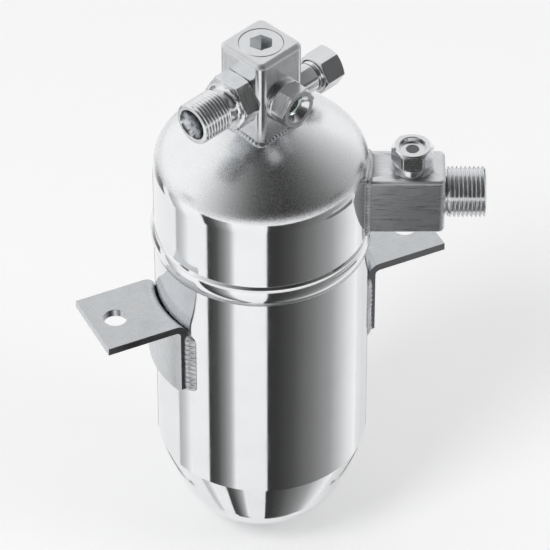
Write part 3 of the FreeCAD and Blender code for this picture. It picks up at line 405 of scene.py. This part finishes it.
def side_block_bead():
    """Bead round the side block's root, on the can's side and the bead of its upper shell."""
    place, outward = rounded_rectangle(SIDE_HALF, SIDE_HIGH, SIDE_ROUND, 0, 1, count=300)

    def on_can(points):
        drop = points[:, 2] - BEAD_MIDDLE
        swelled = BEAD_CENTRE + np.sqrt(np.clip(BEAD_RADIUS ** 2 - drop ** 2, 0, None))
        radius = np.where(points[:, 2] < BEAD_MIDDLE + BEAD_RADIUS,
                          np.maximum(swelled, CAN_RADIUS), CAN_RADIUS)
        return np.stack([np.sqrt(radius ** 2 - points[:, 1] ** 2), points[:, 1], points[:, 2]],
                        axis=-1)

    zero = np.zeros(len(place))
    wall = on_can(np.stack([zero, place[:, 0], place[:, 1] + SIDE_LEVEL], axis=-1))
    outward = np.stack([zero, outward[:, 0], outward[:, 1]], axis=-1)
    weld_bead("inlet_block_weld", wall, outward, np.array([1.0, 0, 0]), on_can,
              leg=1.4 * MM, climb=1.4 * MM, crown=0.2 * MM, ripple_mm=1.5, closed=True)


# Nodes of materials

def linear(colour):
    """A hex sRGB colour as linear red, green, blue and a full alpha."""
    shares = [int(colour[start:start + 2], 16) / 255 for start in (1, 3, 5)]
    return tuple(s / 12.92 if s <= 0.04045 else ((s + 0.055) / 1.055) ** 2.4
                 for s in shares) + (1,)


def new_material(name):
    """A material with its node tree, empty but for its output, and that output."""
    material = bpy.data.materials.new(name)
    material.use_nodes = True
    tree = material.node_tree
    tree.nodes.clear()
    return material, tree, add(tree, "OutputMaterial")


def add(tree, kind, inputs=None, **settings):
    """Adds one node; an input takes a value or another node's output."""
    node = tree.nodes.new("ShaderNode" + kind)
    for word, value in settings.items():
        setattr(node, word, value)
    for socket, value in (inputs or {}).items():
        if isinstance(value, bpy.types.NodeSocket):
            tree.links.new(value, node.inputs[socket])
        else:
            node.inputs[socket].default_value = value
    return node


def object_place(tree):
    """Place on the object itself, so that a grain stays with a piece that moves."""
    return add(tree, "TexCoord").outputs["Object"]


def noise(tree, place, size_mm, detail):
    """Noise of about 0 to 1 whose clouds are of one size in millimetres."""
    return add(tree, "TexNoise", {"Vector": place, "Scale": 1 / (size_mm * MM),
                                  "Detail": detail}).outputs["Fac"]


def spread(tree, value, low, high):
    """Most of a noise's own range, from 0.3 to 0.7, spread over a range of roughness."""
    return add(tree, "MapRange", {"Value": value, "From Min": 0.3, "From Max": 0.7,
                                  "To Min": low, "To Max": high}).outputs[0]


def ramp(tree, value, start, end):
    """A value as a share of the way from a start to an end, held to 0 and 1."""
    return add(tree, "MapRange", {"Value": value, "From Min": start,
                                  "From Max": end}).outputs[0]


def mixed(tree, share, first, second):
    """A number that goes from a first one to a second one with a share."""
    return add(tree, "Mix", {"Factor": share, "A": first, "B": second}).outputs["Result"]


def tinted(tree, share, first, second):
    """A colour that goes from a first one to a second one with a share."""
    return add(tree, "Mix", {"Factor": share, "A": first, "B": second},
               data_type="RGBA").outputs["Result"]


def two(tree, operation, first, second):
    """The result of a sum or another operation with two numbers."""
    return add(tree, "Math", {0: first, 1: second}, operation=operation).outputs[0]


def metal_skin(tree, output, tint, rough, height, strength, depth_mm, edge_mm):
    """Bare or plated metal: a tint, a roughness, a fine relief and slightly broken edges."""
    edges = add(tree, "Bevel", {"Radius": edge_mm * MM}, samples=6)
    relief = add(tree, "Bump", {"Height": height, "Strength": strength,
                                "Distance": depth_mm * MM, "Normal": edges.outputs[0]})
    metal = add(tree, "BsdfPrincipled", {"Base Color": tint, "Metallic": 1.0, "Roughness": rough,
                                         "Normal": relief.outputs[0]})
    tree.links.new(metal.outputs[0], output.inputs["Surface"])


# Materials

def plated_drawn_steel():
    """Mild steel, deep drawn, polished and bright plated.

    The wall is mirror-like with faint upright draw lines. The dome is blasted before it is
    plated, so above the shoulder it is satin, with a fine stipple.
    """
    material, tree, output = new_material("plated_drawn_steel")
    draw_line_mm, line_length_mm, cloud_mm, stipple_mm = 0.6, 40, 14, 0.7
    blast_start, blast_end = SHOULDER_LEVEL + 3.4 * MM, SHOULDER_LEVEL + 4.6 * MM
    spot = object_place(tree)
    drawn = add(tree, "Mapping", {
        "Vector": spot, "Scale": (1 / (draw_line_mm * MM), 1 / (draw_line_mm * MM),
                                  1 / (line_length_mm * MM))}).outputs[0]
    lines = add(tree, "TexNoise", {"Vector": drawn, "Scale": 1.0, "Detail": 2.0}).outputs["Fac"]
    clouds = noise(tree, spot, cloud_mm, 4.0)
    stipple = noise(tree, spot, stipple_mm, 3.0)
    level = add(tree, "SeparateXYZ", {"Vector": spot}).outputs["Z"]
    dome = ramp(tree, level, blast_start, blast_end)
    tint = tinted(tree, clouds, linear("#F4F5F6"), linear("#EAEBED"))
    rough = mixed(tree, dome, spread(tree, clouds, 0.07, 0.11), spread(tree, stipple, 0.24, 0.34))
    strength = add(tree, "MapRange", {"Value": dome, "To Min": 0.03, "To Max": 0.35}).outputs[0]
    metal_skin(tree, output, tint, rough, mixed(tree, dome, lines, stipple), strength,
               depth_mm=0.03, edge_mm=0.15)
    return material


def tumbled(tree, rough, end_mm):
    """Roughness that rises where a block's sides turn into its tumbled, rounded top edges.

    The turned fitting beyond the block's end is smoother. An edge is where the normal's
    upward part is neither that of a side nor that of the top.
    """
    side_ends, edge_starts, edge_ends, top_starts = 0.08, 0.3, 0.93, 0.995
    edge_rough, fitting_rough = 0.5, 0.14
    upward = add(tree, "SeparateXYZ",
                 {"Vector": add(tree, "NewGeometry").outputs["Normal"]}).outputs["Z"]
    edge = two(tree, "MULTIPLY", ramp(tree, upward, side_ends, edge_starts),
               ramp(tree, upward, top_starts, edge_ends))
    x = add(tree, "SeparateXYZ", {"Vector": object_place(tree)}).outputs["X"]
    on_block = two(tree, "LESS_THAN", x, end_mm * MM)
    return mixed(tree, on_block, fitting_rough, mixed(tree, edge, rough, edge_rough))


def sheared(tree, tint, heading):
    """Tint that darkens on a sheet's sheared edges, which face across its heading."""
    edge_starts, edge_ends = 0.93, 0.98
    normal = add(tree, "NewGeometry").outputs["Normal"]
    turned = add(tree, "Mapping", {"Vector": normal, "Rotation": (0, 0, -math.radians(heading))},
                 vector_type="NORMAL")
    across = add(tree, "SeparateXYZ", {"Vector": turned.outputs[0]}).outputs["Y"]
    size = add(tree, "Math", {0: across}, operation="ABSOLUTE").outputs[0]
    return tinted(tree, ramp(tree, size, edge_starts, edge_ends), tint, linear("#8E9093"))


def ground_steel(name, bright, dull, low, high, grain=(0.5, 0.5, 0.5), heading=0, relief_mm=0.02,
                 block_end_mm=None, sheet=False):
    """Plated steel with a grain drawn out along its own axes, each grain size in millimetres.

    A heading turns the first axis about Z, for a grain that follows a slanting face. A block
    has tumbled top edges as far as its end along X, and a sheet has dull sheared edges.
    """
    material, tree, output = new_material(name)
    spot = object_place(tree)
    turned = add(tree, "Mapping", {"Vector": spot, "Rotation": (0, 0, -math.radians(heading))})
    drawn = add(tree, "Mapping", {"Vector": turned.outputs[0],
                                  "Scale": tuple(1 / (size * MM) for size in grain)})
    lines = add(tree, "TexNoise", {"Vector": drawn.outputs[0], "Scale": 1.0,
                                   "Detail": 3.0}).outputs["Fac"]
    tint = tinted(tree, noise(tree, spot, 5, 3.0), linear(bright), linear(dull))
    if sheet:
        tint = sheared(tree, tint, heading)
    rough = spread(tree, lines, low, high)
    if block_end_mm:
        rough = tumbled(tree, rough, block_end_mm)
    metal_skin(tree, output, tint, rough, lines, 0.2, relief_mm, edge_mm=0.3)
    return material


def turned_steel(name, heading, level, x=0.0, upright=False):
    """Bright plated steel turned on a lathe about one axis.

    The tool leaves fine rings: along the axis on the barrels, and round it on the faces. Real
    ones are about 0.1 mm apart, drawn here at 0.45 mm so that they show. The rings are a
    noise of place along the axis + distance from the axis.
    """
    material, tree, output = new_material(name)
    ring_mm = 0.45
    spot = object_place(tree)
    centred = add(tree, "VectorMath", {0: spot, 1: (x, 0, level)}, operation="SUBTRACT")
    turn = (0, math.radians(90), 0) if upright else (0, 0, -math.radians(heading))
    own = add(tree, "Mapping", {"Vector": centred.outputs[0], "Rotation": turn})
    parts = add(tree, "SeparateXYZ", {"Vector": own.outputs[0]})
    flat = add(tree, "CombineXYZ", {"Y": parts.outputs["Y"], "Z": parts.outputs["Z"]})
    away = add(tree, "VectorMath", {0: flat.outputs[0]}, operation="LENGTH").outputs["Value"]
    scaled = two(tree, "MULTIPLY", two(tree, "ADD", parts.outputs["X"], away),
                 1 / (ring_mm * MM))
    rings = add(tree, "TexNoise", {"W": scaled, "Scale": 1.0, "Detail": 2.0},
                noise_dimensions="1D").outputs["Fac"]
    tint = tinted(tree, noise(tree, spot, 4, 3.0), linear("#F1F2F3"), linear("#E2E4E6"))
    metal_skin(tree, output, tint, spread(tree, rings, 0.13, 0.22), rings, 0.12,
               depth_mm=0.03, edge_mm=0.2)
    return material


def matt(name, light, dark, grain_mm, rough):
    """A matt material with a grain of one size in millimetres."""
    material, tree, output = new_material(name)
    grain = noise(tree, object_place(tree), grain_mm, 4.0)
    relief = add(tree, "Bump", {"Height": grain, "Strength": 0.4, "Distance": 0.1 * MM})
    tint = tinted(tree, grain, linear(light), linear(dark))
    skin = add(tree, "BsdfPrincipled", {"Base Color": tint, "Roughness": rough,
                                        "Normal": relief.outputs[0]})
    tree.links.new(skin.outputs[0], output.inputs["Surface"])
    return material


def clear_glass():
    """Clear polished glass for the lens of the sight glass."""
    material, tree, output = new_material("clear_glass")
    glass = add(tree, "BsdfPrincipled", {"Base Color": linear("#F4FBF8"), "Roughness": 0.02,
                                         "IOR": 1.5, "Transmission Weight": 1.0})
    tree.links.new(glass.outputs[0], output.inputs["Surface"])
    return material


finishes = {
    "can_steel": plated_drawn_steel(),
    "block_steel": ground_steel("plated_milled_steel", "#EDEEF0", "#DDDFE1", 0.15, 0.26,
                                (0.4, 0.4, 12), SERVICE_HEADING, block_end_mm=30),
    "fitting_steel": turned_steel("socket_plug_turned_steel", 0, 0, upright=True),
    "bracket_steel": ground_steel("plated_rolled_steel", "#D9DBDD", "#C9CCCF", 0.22, 0.34,
                                  (9, 0.5, 9), BRACKET_HEADINGS["right"], sheet=True),
    "weld_metal": ground_steel("weld_bead_steel", "#DFE0E2", "#C9CBCE", 0.3, 0.42,
                               relief_mm=0.008),
    "spring_steel": ground_steel("tempered_spring_wire", "#8E9196", "#74777C", 0.3, 0.4),
    "screen_steel": ground_steel("perforated_sheet_steel", "#C9CBCE", "#B4B6B9", 0.25, 0.35),
    "tube_steel": ground_steel("drawn_tube_steel", "#C9CBCE", "#B4B6B9", 0.2, 0.3,
                               (0.4, 0.4, 15)),
    "core_brass": ground_steel("turned_brass", "#D8B46A", "#C29B52", 0.2, 0.3),
    # The fusible alloy has the dull grey of a cast alloy and is darkened further as painted shade
    # for the plug's recess, where it sits.
    "fusible_alloy": ground_steel("tin_bismuth_alloy_with_painted_recess_shade", "#8A8B8E", "#727377", 0.35, 0.5),
    "seal_rubber": matt("nitrile_rubber", "#1B1E1B", "#101210", 0.4, 0.55),
    "sight_glass": clear_glass(),
    "felt": matt("pressed_fibre_felt", "#DAD6CB", "#C4BFB2", 0.3, 0.9),
    "desiccant": matt("packed_molecular_sieve_beads", "#D8CDB4", "#BBAE92", 1.6, 0.8),
}
service_steel = turned_steel("service_port_turned_steel", SERVICE_HEADING, SERVICE_LEVEL)
own_finishes = {
    "outlet_fitting": turned_steel("outlet_turned_steel", OUTLET_HEADING, OUTLET_LEVEL),
    "sight_glass_body": turned_steel("sight_glass_turned_steel", GLASS_HEADING, GLASS_LEVEL),
    "service_stem": service_steel,
    "service_cap": service_steel,
    "fusible_plug": turned_steel("fusible_plug_turned_steel", 0, 0, x=FUSE_PLACE, upright=True),
    "inlet_block": ground_steel("plated_milled_side_steel", "#EDEEF0", "#DDDFE1", 0.24, 0.36,
                                (10, 0.4, 0.4), relief_mm=0.011, block_end_mm=SIDE_END_MM),
}


def finish_of(node):
    """A node's own material if it has one, or else that of its slot."""
    return own_finishes.get(node) or finishes[slot_of[node]]


# Glowing cards that the plated steel mirrors: painted reflections of shade and light, and no
# lamps

def card_finish(name, stops):
    """Glowing card whose painted shade runs across it from one (place, grey) stop to the next; it
    is an emission, not a lit matt card.
    """
    material, tree, output = new_material(name)
    place = add(tree, "UVMap").outputs["UV"]
    across = add(tree, "SeparateXYZ", {"Vector": place}).outputs["X"]
    shade = add(tree, "ValToRGB", {"Fac": across})
    while len(shade.color_ramp.elements) < len(stops):
        shade.color_ramp.elements.new(1)
    for element, (where, grey) in zip(shade.color_ramp.elements, stops):
        element.position = where
        element.color = (grey, grey, grey, 1)
    glow = add(tree, "Emission", {"Color": shade.outputs["Color"]})
    tree.links.new(glow.outputs[0], output.inputs["Surface"])
    return material


def new_card(name, points, across, stops):
    """A card from a grid of points, with the share across it as its UV map.

    Metal and glass show it as a painted reflection; it glows, but it neither casts a shadow nor
    lights anything.
    """
    rows, columns = points.shape[:2]
    card = new_piece(name, points.reshape(-1, 3).tolist(), grid_faces(rows, columns))
    layer = card.data.uv_layers.new(name="UVMap")
    place = np.stack(np.broadcast_arrays(across, 0 * points[..., 0]), axis=-1)
    corners = np.array([loop.vertex_index for loop in card.data.loops])
    layer.data.foreach_set("uv", place.reshape(-1, 2)[corners].ravel())
    card.data.materials.append(card_finish(name, stops))
    card.visible_camera = False
    card.visible_diffuse = False
    card.visible_shadow = False
    card.visible_transmission = False


def mirrored_sight(place, normal):
    """Where the camera's sight line to each place runs on to when it is mirrored there."""
    sight = place - CAMERA_PLACE
    sight /= np.linalg.norm(sight, axis=-1, keepdims=True)
    return sight - 2 * np.sum(sight * normal, axis=-1, keepdims=True) * normal


def wall_card(name, first, last, stops, top=SHOULDER_LEVEL):
    """Glowing grey card on the floor that paints bands of shade and light into the can's wall,
    between two angles from the front.

    A point of the card is where the sight line to the wall at that angle and height, mirrored
    by the wall, meets the floor.
    """
    below_floor = 8 * MM
    share = np.linspace(0, 1, CARD_COLUMNS)[None, :]
    angle = np.radians(np.linspace(first, last, CARD_COLUMNS))[None, :]
    height = np.linspace(FLOOR_LEVEL - below_floor, top, CARD_ROWS)[:, None]
    normal = np.stack(np.broadcast_arrays(np.sin(angle), -np.cos(angle), 0 * height), axis=-1)
    wall = normal * CAN_RADIUS
    wall[..., 2] = height
    mirrored = mirrored_sight(wall, normal)
    points = wall + mirrored * (FLOOR_LEVEL - wall[..., 2:]) / mirrored[..., 2:]
    points[..., 2] = FLOOR_LEVEL + WALL_CARD_HEIGHT
    new_card(name, points, share, stops)


def dome_card(name, first, last, low, high, stops, distance):
    """Curved glowing grey card overhead that paints shade and light into the dome and its
    shoulder, between two angles.

    A point of the card lies at a fixed distance along the sight line to the place where the
    surface leans up by an angle, mirrored there. The surface is taken as a ball.
    """
    ball_radius, ball_centre = 45 * MM, np.array([0, 0, 30]) * MM
    share = np.linspace(0, 1, CARD_COLUMNS)[None, :]
    angle = np.radians(np.linspace(first, last, CARD_COLUMNS))[None, :]
    lean = np.radians(np.linspace(low, high, CARD_ROWS))[:, None]
    normal = np.stack(np.broadcast_arrays(np.sin(angle) * np.cos(lean),
                                          -np.cos(angle) * np.cos(lean),
                                          np.sin(lean) + 0 * angle), axis=-1)
    place = normal * ball_radius + ball_centre
    new_card(name, place + mirrored_sight(place, normal) * distance, share, stops)


def fan_card(name, first, last, stops):
    """Glowing card on the floor behind the can, between two headings from its axis, that paints
    shade and light into reflections.
    """
    near, far = 0.27, 0.75
    share = np.linspace(0, 1, 41)[None, :]
    turn = np.radians(first + (last - first) * share)
    away = np.linspace(near, far, 9)[:, None]
    points = np.stack(np.broadcast_arrays(away * np.cos(turn), away * np.sin(turn),
                                          FLOOR_LEVEL + FAN_CARD_HEIGHT), axis=-1)
    new_card(name, points, share, stops)


def level_card(name, left, right, near, far, stops):
    """Glowing card on the floor that paints shade into reflections, its shade running from its
    left end to its right end.
    """
    share = np.linspace(0, 1, 33)[None, :]
    depth = np.linspace(near, far, 9)[:, None]
    points = np.stack(np.broadcast_arrays(left + (right - left) * share, depth,
                                          FLOOR_LEVEL + LEVEL_CARD_HEIGHT), axis=-1)
    new_card(name, points, share, stops)


def side_card(name, x, low, high, near, far, grey):
    """Upright glowing card at the left or the right of the object that paints dark reflections
    into the hexagons' flats.
    """
    share = np.linspace(0, 1, 9)[None, :]
    depth = np.linspace(near, far, share.size)[None, :]
    level = np.linspace(low, high, 9)[:, None]
    points = np.stack(np.broadcast_arrays(x + 0 * level, depth, level), axis=-1)
    new_card(name, points, share, ((0, grey), (1, grey)))


def cards():
    """Every glowing card, with its painted shade as (share across, grey) stops, for painted
    reflections in the metal.

    The tall wall cards reach out over the floor, so that low views show them too.
    """
    tall = 0.4
    wall_card("front_right_card", 3.0, 62.0,
              ((0, 0.035), (0.1, 0.045), (0.23, 0.08), (0.43, 0.20), (0.62, 0.36), (0.84, 0.78),
               (1, 1.0)), tall)
    wall_card("front_left_card", -29.5, -13.5,
              ((0, 0.03), (0.35, 0.09), (0.6, 0.25), (0.8, 0.45), (1, 1.0)), tall)
    wall_card("left_card", -51.0, -41.0, ((0, 0.45), (0.5, 0.65), (1, 1.0)), tall)
    fan_card("back_right_card", 28.0, 58.0, ((0, 0.9), (0.25, 0.25), (0.6, 0.08), (1, 0.06)))
    fan_card("back_card", 92.0, 112.0, ((0, 0.06), (0.4, 0.2), (1, 0.9)))
    fan_card("back_left_card", 132.0, 160.0, ((0, 0.95), (0.5, 0.35), (1, 0.1)))
    # The edge cards paint dark edges along the can's outline, in reflection.
    wall_card("right_edge_card", 82.0, 90.0, ((0, 0.8), (0.6, 0.1), (1, 0.02)))
    wall_card("left_edge_card", -90.0, -82.0, ((0, 0.02), (0.4, 0.1), (1, 0.8)))
    # The dome cards paint the dome's front dark and its top light grey, in reflection.
    dome_card("dome_front_card", -38.0, 84.0, 24.0, 80.0,
              ((0, 0.9), (0.16, 0.35), (0.28, 0.06), (0.46, 0.03), (0.62, 0.16), (0.82, 0.5),
               (1, 0.8)), 1.2)
    dome_card("overhead_card", -180.0, 180.0, 74.0, 89.9, ((0, 0.82), (1, 0.82)), 1.3)
    # The head card paints the head block's right-front faces dark, in reflection.
    level_card("head_card", 0.232, 0.38, -0.12, 0.05,
               ((0, 0.8), (0.1, 0.12), (0.4, 0.2), (0.7, 0.5), (1, 0.9)))
    # The side cards paint the hexagons' flats dark, in reflection.
    side_card("left_side_card", -0.95, 0.14, 0.31, -0.32, -0.14, 0.15)
    side_card("right_side_card", 0.95, 0.13, 0.33, -0.34, -0.08, 0.07)


# Room, floor, lamps and camera

def seen_ray(tree):
    """One where a ray comes from the camera, from gloss or through glass."""
    ray = add(tree, "LightPath").outputs
    return two(tree, "MAXIMUM", two(tree, "MAXIMUM", ray["Is Camera Ray"], ray["Is Glossy Ray"]),
               ray["Is Transmission Ray"])


def pale_floor():
    """Wide matt floor that eyes and mirrors see a little brighter than it is lit."""
    half = 6.0
    floor = new_piece("floor", [(-half, -half, FLOOR_LEVEL), (half, -half, FLOOR_LEVEL),
                                (half, half, FLOOR_LEVEL), (-half, half, FLOOR_LEVEL)],
                      [(0, 1, 2, 3)])
    material, tree, output = new_material("pale_floor")
    paint = add(tree, "BsdfDiffuse", {"Color": linear("#F4F4F4")})
    lift = two(tree, "MULTIPLY", seen_ray(tree), FLOOR_LIFT)
    glow = add(tree, "Emission", {"Color": (1, 1, 1, 1), "Strength": lift})
    both = add(tree, "AddShader", {0: paint.outputs[0], 1: glow.outputs[0]})
    tree.links.new(both.outputs[0], output.inputs["Surface"])
    floor.data.materials.append(material)


def soft_light(name, place, power):
    """A round lamp that looks at the origin and that gloss doesn't show."""
    lamp = bpy.data.lights.new(name, "AREA")
    lamp.shape = "DISK"
    lamp.size = 0.7
    lamp.energy = power
    light = bpy.data.objects.new(name, lamp)
    bpy.context.scene.collection.objects.link(light)
    light.location = place
    light.rotation_euler = (-Vector(place)).to_track_quat("-Z", "Y").to_euler()
    light.visible_glossy = False


def studio():
    """Even white room, one soft lamp at the upper left and one weaker at the right."""
    world = bpy.data.worlds.new("room")
    bpy.context.scene.world = world
    world.use_nodes = True
    tree = world.node_tree
    tree.nodes.clear()
    strength = add(tree, "MapRange", {"Value": seen_ray(tree), "To Min": ROOM_LIGHT,
                                      "To Max": 1.0})
    air = add(tree, "Background", {"Color": (1, 1, 1, 1), "Strength": strength.outputs[0]})
    end = add(tree, "OutputWorld")
    tree.links.new(air.outputs[0], end.inputs["Surface"])
    world.cycles.sampling_method = "NONE"
    soft_light("key_lamp", (-0.9, -0.9, 1.5), 11.0)
    soft_light("fill_lamp", (1.2, -0.4, 1.0), 3.0)


def camera():
    """The picture's own view, through a long lens."""
    lens = bpy.data.cameras.new("camera")
    lens.lens = CAMERA_LENS_MM
    lens.sensor_width = CAMERA_SENSOR_MM
    viewer = bpy.data.objects.new("camera", lens)
    bpy.context.scene.collection.objects.link(viewer)
    viewer.location = CAMERA_PLACE
    viewer.rotation_euler = (math.pi / 2 - CAMERA_PITCH, 0, 0)
    bpy.context.scene.camera = viewer
    bpy.context.scene.view_settings.view_transform = "Standard"


for node, thing in nodes.items():
    thing.data.materials.clear()
    thing.data.materials.append(finish_of(node))
threaded_ends()
milled_plug()
bracket_beads()
head_block_bead()
side_block_bead()

camera()
studio()
pale_floor()
cards()
